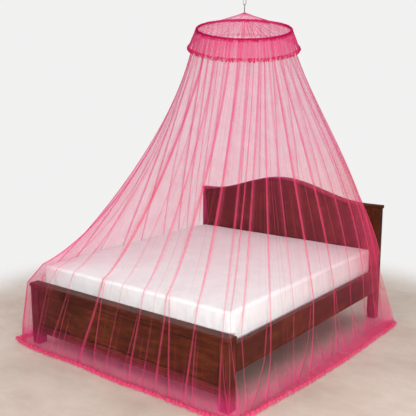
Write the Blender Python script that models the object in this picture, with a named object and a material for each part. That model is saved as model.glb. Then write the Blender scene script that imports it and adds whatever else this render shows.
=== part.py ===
"""A mosquito net canopy, hung from a ceiling and let down over a wooden double bed.

Room coordinates, in metres: the floor is z = 0, the bed's foot posts start at y = 0, +Y runs to the head,
and x = 0 is the middle of the bed. Everything hangs under one empty, which moves the point where the
ceiling holds the chain link to the world's origin.
"""

import math
from collections import namedtuple

import bpy
import bmesh
import numpy as np
from mathutils import Matrix, Vector

# ---------------------------------------------------------------- bed sizes
BED_WIDTH = 1.80
BED_LENGTH = 2.10
POST = 0.074
CAP_THICK = 0.028
CAP_OVERHANG = 0.007
FOOT_TOP = 0.458
FOOT_BOTTOM = 0.09
FOOT_RAIL_TOP = 0.15
BOARD_THICK = 0.030
BOARD_RECESS = 0.012
HEAD_FRONT = 2.036
HEAD_SHOULDER = 0.938
HEAD_PEAK = 1.092
HEAD_ARCH_HALF = 0.79
HEAD_CREST_X = -0.030
HEAD_BOTTOM = 0.28
HEAD_CAP = 0.024
HEAD_MOULDING = 0.014
HEAD_MOULDING_DROP = 0.045
RAIL_BOTTOM = 0.235
RAIL_TOP = 0.410
RAIL_THICK = 0.030
LEDGE_WIDTH = 0.030
LEDGE_HEIGHT = 0.035
DECK_THICK = 0.020
EASED_EDGE = 0.004
MATTRESS_WIDTH = 1.70
MATTRESS_FOOT = 0.080
MATTRESS_HEAD = 2.006
MATTRESS_BOTTOM = 0.360
MATTRESS_TOP = 0.584
MATTRESS_EDGE = 0.022
MATTRESS_CORNER = 0.034
FIT = 0.0003
SEAM = 0.0008

# ---------------------------------------------------------------- canopy sizes
HOOP_CENTRE = Vector((0.0, 1.414, 2.307))
HOOP_RADIUS = 0.3645
HOOP_WIRE = 0.0042
HOOP_TILT = math.radians(16.8)
HOOP_LOW_SIDE = math.radians(-52.07)
SLEEVE = 0.0086
SLEEVE_SLIT = math.radians(32.0)
CROWN_RISE = 0.123
CLOTH = 0.0012
NET = 0.0015
VALANCE_DROP = 0.135
VALANCE_RADIUS = 0.428
VALANCE_FRILL = 0.028
HEM_FRILL = 0.036
RUFFLE_PITCH = 0.060
RUFFLE_LIFT = 0.010
ON_FLOOR = 0.03
SHANK = 0.0036
SHANK_LENGTH = 0.052
KNOB = 0.009
PEAK_OPENING = 0.0076
EYE_WIRE = 0.0018
EYE_INSIDE = 0.0048
LINK_WIRE = 0.0021
LINK_WIDTH = 0.030
LINK_LENGTH = 0.062

# ---------------------------------------------------------------- how the net hangs
EASE = 0.003
SIDE_EDGE = (0.930, 0.470)
SIDE_FALL = (0.956, 0.240)
SIDE_TOUCH = 0.988
CORNER_TUCK = 0.022
CORNER_REACH = 0.22
TUCK_Y = 2.021
TUCK_EDGE_Z = 0.640
TUCK_MID_Z = 0.560
TUCK_HEM_Z = 0.456
FLOOR_LAY = 0.0014

# A row is one hanging line of the net: where it leaves the hoop (degrees in plan, 0 to the right), the
# point where it meets the bed's edge, the point where it passes the frame, where it touches down and where
# its hem lies; how steeply it leaves the valance and lands on the edge (degrees below level), with the share
# of the way that each slope is held; and its fold's width and depth.
Line = namedtuple("Line", "rim_deg edge fall touch hem leave land leave_pull land_pull width depth")

# Over the footboard: rim angle, x at the mattress edge, x at the footboard cap, hem x, hem y, width, depth.
FOOT_FOLDS = (
    (-141.0, -0.846, -0.914, -0.980, -0.038, 0.046, 0.014),
    (-130.0, -0.680, -0.690, -0.800, -0.070, 0.030, 0.007),
    (-117.5, -0.505, -0.474, -0.650, -0.072, 0.036, 0.013),
    (-102.0, -0.205, -0.165, -0.290, -0.060, 0.056, 0.014),
    (-94.0, -0.020, 0.020, -0.070, -0.074, 0.026, 0.006),
    (-86.5, 0.173, 0.218, 0.148, -0.078, 0.040, 0.014),
    (-70.0, 0.362, 0.420, 0.370, -0.066, 0.044, 0.012),
    (-61.0, 0.613, 0.656, 0.612, -0.070, 0.042, 0.015),
    (-51.0, 0.812, 0.862, 0.842, -0.070, 0.034, 0.012),
    (-45.0, 0.848, 0.914, 0.962, -0.036, 0.036, 0.013),
)
# Down a long side: rim angle, y at the edge, y at the floor line, hem x, hem y, landing slope, width, depth.
SIDE_FOLDS = (
    (-39.0, 0.100, 0.085, 0.990, 0.090, 36.8, 0.036, 0.011),
    (-33.5, 0.385, 0.345, 1.012, 0.330, 51.2, 0.044, 0.012),
    (-28.0, 0.660, 0.590, 1.036, 0.560, 61.0, 0.030, 0.008),
    (-22.0, 0.915, 0.860, 1.056, 0.830, 69.0, 0.050, 0.016),
    (-14.0, 1.210, 1.190, 1.068, 1.150, 77.0, 0.046, 0.013),
    (-5.0, 1.470, 1.440, 1.070, 1.430, 82.0, 0.036, 0.010),
    (5.0, 1.690, 1.670, 1.066, 1.700, 82.0, 0.044, 0.014),
    (15.0, 1.850, 1.860, 1.072, 1.930, 81.0, 0.036, 0.012),
    (24.0, 1.945, 1.985, 1.050, 2.080, 80.5, 0.030, 0.009),
)
# The turn in front of each head post, where the hem climbs over the rail: rim angle, x, y, edge z, hem z.
POST_FOLDS = (
    (32.0, 0.925, 2.008, 0.560, 0.470),
    (42.0, 0.862, 2.019, 0.640, 0.458),
)
# Tucked between mattress and headboard: rim angle and x.
HEAD_FOLDS = (
    (54.0, 0.660),
    (66.0, 0.440),
    (78.0, 0.200),
    (92.0, -0.030),
    (104.0, -0.240),
    (116.0, -0.450),
    (127.0, -0.670),
)
LEFT_SIDE_SHIFT = 0.028
LEFT_RIM_SHARE = 0.85

HANG_DEG = 74.5
HANG_LENGTH = 0.19
FOOT_SLOPES = (69.0, 25.0, 0.35, 0.15)
CORNER_RIM = -125.0
CORNER_SLOPES = (72.5, 21.0, 0.39, 0.22)
RIGHT_LEAVE = (66.0, 0.35)
LEFT_LEAVE = (73.5, 0.36)
SIDE_LAND_PULL = (0.12, 0.0045)
POST_SLOPES = (69.5, 79.0, 0.34, 0.20)
HEAD_SLOPES = (80.0, 88.0, 0.35, 0.35)
SAG_STEPS = 7
WIDE_GAP = 0.17

CREST_SHARE = 0.16
CREST_TOP_SHARE = 0.42

# ---------------------------------------------------------------- the scene's furniture


def clear_scene():
    for thing in list(bpy.data.objects):
        bpy.data.objects.remove(thing, do_unlink=True)


def finish(name, colour, roughness, metallic=0.0):
    material = bpy.data.materials.new(name)
    material.use_nodes = True
    shader = material.node_tree.nodes["Principled BSDF"]
    shader.inputs["Base Color"].default_value = (*colour, 1.0)
    shader.inputs["Roughness"].default_value = roughness
    shader.inputs["Metallic"].default_value = metallic
    return material


def add(name, mesh, material, parent):
    thing = bpy.data.objects.new(name, mesh)
    bpy.context.scene.collection.objects.link(thing)
    thing.parent = parent
    mesh.materials.clear()
    mesh.materials.append(material)
    return thing


def mesh_of(name, points, faces):
    mesh = bpy.data.meshes.new(name)
    mesh.from_pydata([tuple(map(float, p)) for p in points], [], faces)
    mesh.validate()
    return mesh


def frame_empty(name, parent=None, matrix=None):
    empty = bpy.data.objects.new(name, None)
    bpy.context.scene.collection.objects.link(empty)
    empty.parent = parent
    if matrix is not None:
        empty.matrix_local = matrix
    return empty


# ---------------------------------------------------------------- wood


def board(name, low, high, material, parent, eased=EASED_EDGE):
    """A board between two corners, its edges eased by a small bevel."""
    low, high = Vector(low), Vector(high)
    middle = (low + high) / 2.0
    shape = bmesh.new()
    bmesh.ops.create_cube(shape, size=1.0)
    bmesh.ops.scale(shape, vec=high - low, verts=shape.verts)
    mesh = bpy.data.meshes.new(name)
    shape.to_mesh(mesh)
    shape.free()
    thing = add(name, mesh, material, parent)
    thing.location = middle
    if eased:
        bevel = thing.modifiers.new("eased_edges", "BEVEL")
        bevel.width = eased
        bevel.segments = 1
    return thing


def extruded(name, outline, thick, material, parent, axis):
    """A closed outline given in two coordinates, made `thick` along the third, from `axis` = (start, index)."""
    start, index = axis
    count = len(outline)
    points = []
    for layer in (start, start + thick):
        for a, b in outline:
            place = [a, b]
            place.insert(index, layer)
            points.append(place)
    shape = bmesh.new()
    corners = [shape.verts.new(p) for p in points]
    shape.faces.new(corners[:count])
    shape.faces.new(corners[count:][::-1])
    for i in range(count):
        j = (i + 1) % count
        shape.faces.new((corners[i], corners[i + count], corners[j + count], corners[j]))
    bmesh.ops.recalc_face_normals(shape, faces=shape.faces)
    bmesh.ops.triangulate(shape, faces=[f for f in shape.faces if len(f.verts) > 4])
    mesh = bpy.data.meshes.new(name)
    shape.to_mesh(mesh)
    shape.free()
    return add(name, mesh, material, parent)


def arch_height(x):
    """Height of the headboard's top edge: short level shoulders and one broad crest."""
    share = min(abs(x - HEAD_CREST_X) / HEAD_ARCH_HALF, 1.0)
    return HEAD_SHOULDER + (HEAD_PEAK - HEAD_SHOULDER) * 0.5 * (1.0 + math.cos(math.pi * share))


def arch_band(half_width, top_drop, height, steps=11):
    """Outline, in x and z, of a band that follows the headboard's top edge."""
    crest = [HEAD_CREST_X + HEAD_ARCH_HALF * i / steps for i in range(-steps, steps + 1)]
    stations = [-half_width] + crest + [half_width]
    upper = [(x, arch_height(x) - top_drop) for x in stations]
    lower = [(x, arch_height(x) - top_drop - height) for x in reversed(stations)]
    return upper + lower


def footboard(wood, room):
    half = BED_WIDTH / 2.0
    post_top = FOOT_TOP - CAP_THICK - FIT
    for side, sign in (("left", -1.0), ("right", 1.0)):
        outer, inner = sign * half, sign * (half - POST)
        low = (min(outer, inner), 0.0, 0.0)
        high = (max(outer, inner), POST, post_top)
        board(f"foot_post_{side}", low, high, wood, room)
    panel = half - POST - FIT
    front = BOARD_RECESS
    board("footboard_panel", (-panel, front, FOOT_RAIL_TOP + FIT), (panel, front + BOARD_THICK, post_top),
          wood, room)
    board("footboard_rail", (-panel, front - 0.006, FOOT_BOTTOM), (panel, front + BOARD_THICK, FOOT_RAIL_TOP),
          wood, room)
    reach = half + CAP_OVERHANG
    board("footboard_cap", (-reach, -CAP_OVERHANG, FOOT_TOP - CAP_THICK),
          (reach, MATTRESS_FOOT - 0.004, FOOT_TOP), wood, room, eased=0.006)


def side_rails(wood, room):
    """Each rail is one board with a ledge along its inner face, which carries the deck."""
    start, end = POST + FIT, HEAD_FRONT - FIT
    for side, sign in (("left", -1.0), ("right", 1.0)):
        face = BED_WIDTH / 2.0
        back = face - RAIL_THICK
        ledge = back - LEDGE_WIDTH
        ledge_top = MATTRESS_BOTTOM - DECK_THICK - 2.0 * FIT
        outline = [
            (face, RAIL_BOTTOM), (face, RAIL_TOP), (back, RAIL_TOP), (back, ledge_top),
            (ledge, ledge_top), (ledge, ledge_top - LEDGE_HEIGHT), (back, ledge_top - LEDGE_HEIGHT),
            (back, RAIL_BOTTOM),
        ]
        outline = [(sign * x, z) for x, z in outline]
        extruded(f"side_rail_{side}", outline, end - start, wood, room, (start, 1))


def deck(wood, room):
    half = BED_WIDTH / 2.0 - RAIL_THICK - 0.004
    base = MATTRESS_BOTTOM - DECK_THICK - FIT
    board("bed_deck", (-half, POST + 0.004, base), (half, HEAD_FRONT - 0.004, base + DECK_THICK), wood, room,
          eased=0.0)


def headboard(wood, room):
    half = BED_WIDTH / 2.0
    depth = BED_LENGTH - HEAD_FRONT
    post_top = HEAD_SHOULDER - HEAD_CAP - FIT
    for side, sign in (("left", -1.0), ("right", 1.0)):
        outer, inner = sign * half, sign * (half - POST)
        low = (min(outer, inner), HEAD_FRONT, 0.0)
        high = (max(outer, inner), BED_LENGTH, post_top)
        board(f"head_post_{side}", low, high, wood, room)
    panel = half - POST - FIT
    front = HEAD_FRONT + BOARD_RECESS
    crest = arch_band(panel, HEAD_CAP + FIT, 0.0)
    top_edge = crest[:len(crest) // 2]
    outline = top_edge + [(panel, HEAD_BOTTOM), (-panel, HEAD_BOTTOM)]
    extruded("headboard_panel", outline, BOARD_THICK, wood, room, (front, 1))
    extruded("headboard_cap", arch_band(half + CAP_OVERHANG, 0.0, HEAD_CAP), depth - 0.002, wood, room,
             (HEAD_FRONT + 0.004, 1))
    strip = arch_band(panel - 0.004, HEAD_MOULDING_DROP, HEAD_MOULDING)
    extruded("headboard_moulding", strip, 0.007, wood, room, (front - 0.007 - FIT, 1))


def rounded_rectangle(half_x, low_y, high_y, radius, steps):
    points = []
    centres = (
        (half_x - radius, low_y + radius, -90.0), (half_x - radius, high_y - radius, 0.0),
        (radius - half_x, high_y - radius, 90.0), (radius - half_x, low_y + radius, 180.0),
    )
    for cx, cy, start in centres:
        for i in range(steps + 1):
            angle = math.radians(start + 90.0 * i / steps)
            points.append((cx + radius * math.cos(angle), cy + radius * math.sin(angle)))
    return points


def mattress(cover, room):
    """A mattress in its fitted sheet: rounded corners in plan, softly rounded top and bottom edges."""
    half = MATTRESS_WIDTH / 2.0
    edge_steps = 3
    rings = []
    for top in (False, True):
        for i in range(edge_steps + 1):
            turn = math.radians(90.0 * i / edge_steps)
            inset = MATTRESS_EDGE * (1.0 - (math.cos(turn) if top else math.sin(turn)))
            rise = MATTRESS_EDGE * (1.0 - (math.sin(turn) if top else math.cos(turn)))
            z = MATTRESS_TOP - rise if top else MATTRESS_BOTTOM + rise
            ring = rounded_rectangle(half - inset, MATTRESS_FOOT + inset, MATTRESS_HEAD - inset,
                                     MATTRESS_CORNER - inset * 0.5, 4)
            rings.append([(x, y, z) for x, y in ring])
    count = len(rings[0])
    points = [p for ring in rings for p in ring]
    faces = [tuple(reversed(range(count)))]
    for level in range(len(rings) - 1):
        a, b = level * count, (level + 1) * count
        for i in range(count):
            j = (i + 1) % count
            faces.append((a + i, a + j, b + j, b + i))
    faces.append(tuple(range((len(rings) - 1) * count, len(rings) * count)))
    thing = add("mattress", mesh_of("mattress", points, faces), cover, room)
    thing.data.shade_smooth()
    return thing


# ---------------------------------------------------------------- turned and bent metal


def swept_ring(name, path, section, material, parent):
    """A closed path of (point, outward, up) frames, swept by a closed section of (out, up) points."""
    count, around = len(path), len(section)
    points = []
    for centre, outward, up in path:
        for out, rise in section:
            points.append(centre + outward * out + up * rise)
    shape = bmesh.new()
    verts = [shape.verts.new(p) for p in points]
    for i in range(count):
        nxt = (i + 1) % count
        for k in range(around):
            m = (k + 1) % around
            shape.faces.new((verts[i * around + k], verts[i * around + m],
                             verts[nxt * around + m], verts[nxt * around + k]))
    bmesh.ops.recalc_face_normals(shape, faces=shape.faces)
    mesh = bpy.data.meshes.new(name)
    shape.to_mesh(mesh)
    shape.free()
    mesh.shade_smooth()
    return add(name, mesh, material, parent)


def circle_section(radius, sides):
    return [(radius * math.cos(2 * math.pi * k / sides), radius * math.sin(2 * math.pi * k / sides))
            for k in range(sides)]


def hoop_path(steps):
    path = []
    for i in range(steps):
        angle = 2 * math.pi * i / steps
        outward = Vector((math.cos(angle), math.sin(angle), 0.0))
        path.append((outward * HOOP_RADIUS, outward, Vector((0, 0, 1))))
    return path


def hoop_and_sleeve(steel, binding, hoop_frame, steps=36):
    """The wire hoop, in a bound sleeve that is slit along its underside, where the net is sewn in."""
    swept_ring("hoop_ring", hoop_path(steps), circle_section(HOOP_WIRE, 6), steel, hoop_frame)
    open_from = -math.pi / 2 + SLEEVE_SLIT
    open_to = 1.5 * math.pi - SLEEVE_SLIT
    sides = 7
    turns = [open_from + (open_to - open_from) * k / sides for k in range(sides + 1)]
    outer = [(SLEEVE * math.cos(a), SLEEVE * math.sin(a)) for a in turns]
    bore = HOOP_WIRE + 0.0009
    inner = [(bore * math.cos(a), bore * math.sin(a)) for a in reversed(turns)]
    swept_ring("hoop_sleeve", hoop_path(steps), outer + inner, binding, hoop_frame)


def turned(name, profile, sides, material, parent):
    """A solid turned about z from a profile of (radius, height), its first and last points on the axis."""
    points = [(0.0, 0.0, profile[0][1])]
    for radius, height in profile[1:-1]:
        for k in range(sides):
            angle = 2 * math.pi * k / sides
            points.append((radius * math.cos(angle), radius * math.sin(angle), height))
    points.append((0.0, 0.0, profile[-1][1]))
    rings = len(profile) - 2
    last = len(points) - 1
    faces = []
    for k in range(sides):
        m = (k + 1) % sides
        faces.append((0, 1 + m, 1 + k))
        for r in range(rings - 1):
            a, b = 1 + r * sides, 1 + (r + 1) * sides
            faces.append((a + k, a + m, b + m, b + k))
        end = 1 + (rings - 1) * sides
        faces.append((end + k, end + m, last))
    mesh = mesh_of(name, points, faces)
    mesh.shade_smooth()
    return add(name, mesh, material, parent)


def hanger_shank(steel, room):
    """The shank that carries the crown on a knob under its peak; returns the shank's top point."""
    knob_drop = CLOTH / 2.0 + math.sqrt(KNOB ** 2 - PEAK_OPENING ** 2) + 2.0 * FIT
    centre = hoop_matrix() @ Vector((0.0, 0.0, CROWN_RISE - knob_drop))
    neck = math.asin(SHANK / KNOB)
    steps = 5
    profile = [(0.0, -KNOB)]
    for i in range(1, steps + 1):
        angle = math.pi - (math.pi - neck) * i / steps
        profile.append((KNOB * math.sin(angle), KNOB * math.cos(angle)))
    profile += [(SHANK, SHANK_LENGTH), (0.0, SHANK_LENGTH)]
    shank = turned("hanger_shank", profile, 12, steel, room)
    shank.location = centre
    return centre + Vector((0.0, 0.0, SHANK_LENGTH))


def oval_path(width, length, steps, up, side):
    """Frames along an oval link: two half circles joined by straight runs."""
    radius = width / 2.0
    straight = length - width
    face = up.cross(side)
    path = []
    for half, sign in ((0, 1.0), (1, -1.0)):
        centre = up * (sign * straight / 2.0)
        for i in range(steps + 1):
            angle = math.pi * (half + i / steps)
            outward = side * math.cos(angle) + up * math.sin(angle)
            path.append((centre + outward * radius, outward, face))
    return path


def link_and_eye(steel, room, shank_top):
    """The hanger's round eye and the oval chain link that threads it; returns the link's top point."""
    up = Vector((0, 0, 1))
    eye_radius = EYE_INSIDE + EYE_WIRE
    eye_centre = shank_top + up * (EYE_WIRE + eye_radius + FIT)
    eye = swept_ring("hanger_eye", oval_path(2 * eye_radius, 2 * eye_radius + 1e-5, 6, up, Vector((0, 1, 0))),
                     circle_section(EYE_WIRE, 6), steel, room)
    eye.location = eye_centre
    arc_top = eye_centre.z + EYE_INSIDE - FIT
    middle_radius = LINK_WIDTH / 2.0 - LINK_WIRE
    link_middle_length = LINK_LENGTH - 2 * LINK_WIRE
    link_centre = Vector((shank_top.x, shank_top.y, arc_top - LINK_WIRE + link_middle_length / 2.0))
    link = swept_ring("ceiling_link", oval_path(2 * middle_radius, link_middle_length, 7, up, Vector((1, 0, 0))),
                      circle_section(LINK_WIRE, 7), steel, room)
    link.location = link_centre
    return link_centre + up * (LINK_LENGTH / 2.0)


# ---------------------------------------------------------------- cloth


def cloth_sheet(name, rows, thick, material, parent, closed=True):
    """A sheet through a stack of rows of points, given its thickness, with triangles on both sides."""
    rows = [np.asarray(row, float) for row in rows]
    count = len(rows[0])
    points = np.concatenate(rows)
    faces = []
    for level in range(len(rows) - 1):
        a, b = level * count, (level + 1) * count
        for i in range(count if closed else count - 1):
            j = (i + 1) % count
            if math.dist(points[a + i], points[b + j]) <= math.dist(points[a + j], points[b + i]):
                faces += [(a + i, b + i, b + j), (a + i, b + j, a + j)]
            else:
                faces += [(a + i, b + i, a + j), (a + j, b + i, b + j)]
    thing = add(name, mesh_of(name, points, faces), material, parent)
    wall = thing.modifiers.new("cloth_thickness", "SOLIDIFY")
    wall.thickness = thick
    wall.offset = 0.0
    wall.use_rim = True
    wall.use_even_offset = False
    thing.data.shade_smooth()
    return thing


def uneven(i, seed):
    """A repeatable number from -1 to 1 for pleat i, so that gathers differ from each other."""
    value = math.sin(i * 12.9898 + seed * 78.233) * 43758.5453
    return 2.0 * (value - math.floor(value)) - 1.0


def hoop_ring_points(count, radius, drop, gather=0.0, seed=0.0, lift=0.0):
    """A ring round the hoop's axis, alternately out and in by `gather`, unevenly."""
    ring = []
    for i in range(count):
        angle = 2 * math.pi * i / count
        wave = (1.0 if i % 2 else -1.0) * gather * (1.0 + 0.35 * uneven(i, seed))
        height = -drop + lift * uneven(i, seed + 2.0)
        ring.append(((radius + wave) * math.cos(angle), (radius + wave) * math.sin(angle), height))
    return ring


def crown(net, hoop_frame):
    """The pleated cone of net from the hoop's sleeve up to the hanger's knob."""
    pleats = 40
    start = HOOP_RADIUS - SLEEVE - FIT - CLOTH
    end = PEAK_OPENING
    rings = []
    for share, gather in ((0.0, 0.0), (0.12, 0.003), (0.45, 0.003), (0.8, 0.0012), (1.0, 0.0)):
        radius = start + (end - start) * share
        rise = CROWN_RISE * (0.86 * share + 0.14 * share ** 3)
        rings.append(hoop_ring_points(pleats, radius, -rise, gather, 1.0))
    return cloth_sheet("crown_net", rings[::-1], CLOTH, net, hoop_frame)


def valance(net, hoop_frame):
    """The gathered fall of net outside the hoop, flaring to its frill."""
    gathers = 64
    start = HOOP_RADIUS + SLEEVE + CLOTH
    rings = []
    for share, gather in ((0.0, 0.0), (0.3, 0.0032), (0.8, 0.0045), (1.0, 0.0)):
        radius = start + (VALANCE_RADIUS - start) * share ** 0.9
        rings.append(hoop_ring_points(gathers, radius, VALANCE_DROP * share, gather, 3.0))
    return cloth_sheet("valance", rings, CLOTH, net, hoop_frame)


def valance_frill(trim, hoop_frame):
    """The ruffle along the valance's lower edge, standing in and out of it."""
    ruffles = 96
    top = VALANCE_DROP + SEAM
    rings = [
        hoop_ring_points(ruffles, VALANCE_RADIUS, top, 0.0, 5.0),
        hoop_ring_points(ruffles, VALANCE_RADIUS + 0.004, top + 0.008, 0.0040, 5.0),
        hoop_ring_points(ruffles, VALANCE_RADIUS + 0.006, top + VALANCE_FRILL, 0.0070, 5.0, 0.003),
    ]
    return cloth_sheet("valance_frill", rings, CLOTH, trim, hoop_frame)


def hoop_matrix():
    """Turns the hoop's own frame: level at first, then tipped so that one side hangs low."""
    hinge = Vector((-math.sin(HOOP_LOW_SIDE), math.cos(HOOP_LOW_SIDE), 0.0))
    return Matrix.Translation(HOOP_CENTRE) @ Matrix.Rotation(HOOP_TILT, 4, hinge)


def on_hoop(rim_deg, radius, drop):
    angle = math.radians(rim_deg)
    place = Vector((radius * math.cos(angle), radius * math.sin(angle), -drop))
    return np.array(hoop_matrix() @ place)


def net_lines():
    """All the net's hanging lines, once round the bed from the left foot corner."""
    half_foot_y = -CAP_OVERHANG - EASE
    lines = []
    for rim, edge_x, cap_x, hem_x, hem_y, width, depth in FOOT_FOLDS:
        edge = (edge_x, MATTRESS_FOOT + 0.002, MATTRESS_TOP + EASE)
        fall = (cap_x, half_foot_y, FOOT_TOP + EASE)
        hem = (hem_x, hem_y, FLOOR_LAY)
        touch = (hem_x * 0.998, hem_y + 0.014, 0.006)
        slopes = CORNER_SLOPES if rim < CORNER_RIM else FOOT_SLOPES
        lines.append(Line(rim, edge, fall, touch, hem, *slopes, width, depth))
    right = [side_line(1.0, *row) for row in SIDE_FOLDS] + [post_line(1.0, *row) for row in POST_FOLDS]
    head = [head_line(rim, x) for rim, x in HEAD_FOLDS]
    left = [side_line(-1.0, *row) for row in SIDE_FOLDS] + [post_line(-1.0, *row) for row in POST_FOLDS]
    return lines + right + head + left[::-1]


def side_line(sign, rim, edge_y, floor_y, hem_x, hem_y, land, width, depth):
    """One line down a long side; the left side's folds lie a little further along than the right's."""
    if sign < 0.0:
        rim = 180.0 - LEFT_RIM_SHARE * rim
        along = LEFT_SIDE_SHIFT * math.sin(9.0 * edge_y)
        edge_y, floor_y, hem_y = edge_y + along, floor_y + along, hem_y + along
    by_post = math.exp(-(edge_y / CORNER_REACH) ** 2)
    edge = (sign * (SIDE_EDGE[0] - CORNER_TUCK * by_post), edge_y, SIDE_EDGE[1])
    fall = (sign * (SIDE_FALL[0] - CORNER_TUCK * by_post), (edge_y + floor_y) / 2.0, SIDE_FALL[1])
    touch = (sign * min(SIDE_TOUCH, hem_x - 0.02), floor_y, 0.006)
    hem = (sign * hem_x, hem_y, FLOOR_LAY)
    land_pull = SIDE_LAND_PULL[0] + SIDE_LAND_PULL[1] * (land - FOOT_SLOPES[1])
    leave, leave_pull = LEFT_LEAVE if sign < 0.0 else RIGHT_LEAVE
    return Line(rim, edge, fall, touch, hem, leave, land, leave_pull, land_pull, width, depth)


def post_line(sign, rim, x, y, edge_z, hem_z):
    """One line that ends above the side rail, in front of a head post."""
    if sign < 0.0:
        rim = 180.0 - LEFT_RIM_SHARE * rim
    heights = (edge_z, (2.0 * edge_z + hem_z) / 3.0, (edge_z + 2.0 * hem_z) / 3.0, hem_z)
    edge, fall, touch, hem = ((sign * x, y, z) for z in heights)
    return Line(rim, edge, fall, touch, hem, *POST_SLOPES, 0.0, 0.0)


def head_line(rim, x):
    touch_z = (TUCK_MID_Z + TUCK_HEM_Z) / 2.0
    edge, fall, touch, hem = ((x, TUCK_Y, z) for z in (TUCK_EDGE_Z, TUCK_MID_Z, touch_z, TUCK_HEM_Z))
    return Line(rim, edge, fall, touch, hem, *HEAD_SLOPES, 0.0, 0.0)


def blend(a, b, share):
    """A hanging line between two neighbours; rim angles take the short way round."""
    step = (b.rim_deg - a.rim_deg + 180.0) % 360.0 - 180.0
    mixed = [a.rim_deg + share * step]
    for left, right in zip(a[1:], b[1:]):
        mixed.append(tuple(np.array(left) * (1 - share) + np.array(right) * share)
                     if isinstance(left, tuple) else left * (1 - share) + right * share)
    return Line(*mixed)


def slanted(run, degrees):
    """A unit way that goes `degrees` below level, towards where `run` points in plan."""
    level = np.array((run[0], run[1], 0.0)) / math.hypot(run[0], run[1])
    slope = math.radians(degrees)
    return level * math.cos(slope) - np.array((0.0, 0.0, 1.0)) * math.sin(slope)


def hang(line):
    """Points down one hanging line: up in the sleeve's slit under the hoop's wire, straight down past the
    valance, a sagging curve to the bed's edge, then to the hem."""
    start = on_hoop(line.rim_deg, HOOP_RADIUS, HOOP_WIRE + FIT)
    reach = HANG_LENGTH * math.cos(math.radians(HANG_DEG))
    drop = HANG_LENGTH * math.sin(math.radians(HANG_DEG))
    below = on_hoop(line.rim_deg, HOOP_RADIUS + reach, SLEEVE + FIT + drop)
    edge, fall, touch, hem = (np.array(p) for p in line[1:5])
    run = edge - below
    length = np.linalg.norm(run)
    first = below + slanted(run, line.leave) * line.leave_pull * length
    second = edge - slanted(run, line.land) * line.land_pull * length
    points = [start]
    for i in range(SAG_STEPS):
        t = i / SAG_STEPS
        points.append((1 - t) ** 3 * below + 3 * (1 - t) ** 2 * t * first
                      + 3 * (1 - t) * t * t * second + t ** 3 * edge)
    points += [edge, fall, (2.0 * fall + touch) / 3.0, (fall + 2.0 * touch) / 3.0, touch, hem]
    return np.array(points)


def fold_columns(line, here, before, after):
    """One fold as four columns: its foot and crest on either side of its hanging line."""
    levels = len(here)
    down = np.linspace(0.0, 1.0, levels)
    outward = np.cross(np.gradient(here, axis=0), after - before)
    outward /= np.linalg.norm(outward, axis=1)[:, None]
    spread = line.width * (CREST_TOP_SHARE + (1.0 - CREST_TOP_SHARE) * down)
    grow = np.minimum(np.arange(levels) / 3.0, 1.0) * (0.7 + 0.3 * down)
    grow[-2:] *= 0.45
    rise = outward * (line.depth * grow)[:, None]
    columns = []
    for neighbour, order in ((before, -1), (after, 1)):
        toward = neighbour - here
        gap = np.linalg.norm(toward, axis=1)
        toward /= gap[:, None]
        foot = here + toward * np.minimum(spread / 2.0, gap * 0.28)[:, None]
        crest = here + toward * np.minimum(spread * CREST_SHARE, gap * 0.12)[:, None] + rise
        columns += [foot, crest] if order < 0 else [crest, foot]
    return columns


def net_columns():
    """The net as columns of points, from line to line, with one more column in each wide gap."""
    lines = net_lines()
    hung = [hang(line) for line in lines]
    count = len(lines)
    columns = []
    for i, line in enumerate(lines):
        after = (i + 1) % count
        if line.depth > 0.0:
            columns += fold_columns(line, hung[i], hung[i - 1], hung[after])
        else:
            columns.append(hung[i])
        if math.dist(line.edge, lines[after].edge) > WIDE_GAP:
            columns.append(hang(blend(line, lines[after], 0.5)))
    return columns


def net_wall(net, room):
    columns = net_columns()
    rings = [np.array([column[level] for column in columns]) for level in range(len(columns[0]))]
    return cloth_sheet("net_wall", rings, NET, net, room), rings


def hem_frill(trim, room, edge):
    """The ruffle sewn along the hem on the floor and up the two free edges beside the head posts."""
    tucked = np.where(np.abs(edge[:, 1] - TUCK_Y) < 0.004)[0]
    start, end = tucked.max() + 1, tucked.min() + len(edge)
    edge = edge[np.arange(start, end) % len(edge)]
    along = np.gradient(edge, axis=0)
    upright = np.array((0.0, -1.0, 0.0))
    level = np.column_stack([along[:, 1], -along[:, 0], np.zeros(len(edge))])
    ways = np.where(edge[:, 2:] < ON_FLOOR, level, np.cross(along, upright))
    ways /= np.linalg.norm(ways, axis=1)[:, None]
    seam, outer = [], []
    for i in range(1, len(edge) - 1):
        pieces = max(1, round(math.dist(edge[i], edge[i + 1]) / RUFFLE_PITCH))
        for share in np.arange(pieces) / pieces:
            point = edge[i] * (1.0 - share) + edge[i + 1] * share
            way = ways[i] * (1.0 - share) + ways[i + 1] * share
            way /= np.linalg.norm(way)
            count = len(seam)
            reach = HEM_FRILL * (1.0 + 0.10 * uneven(count, 9.0))
            lift = RUFFLE_LIFT * (1.0 + 0.4 * uneven(count, 7.0)) if count % 2 else 0.0
            stand = np.array((0.0, 0.0, lift)) if point[2] < ON_FLOOR else upright * -lift
            seam.append(point + way * SEAM)
            outer.append(point + way * (SEAM + reach) + stand)
    return cloth_sheet("hem_frill", [seam, outer], CLOTH, trim, room, closed=False)


# ---------------------------------------------------------------- the whole


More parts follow.
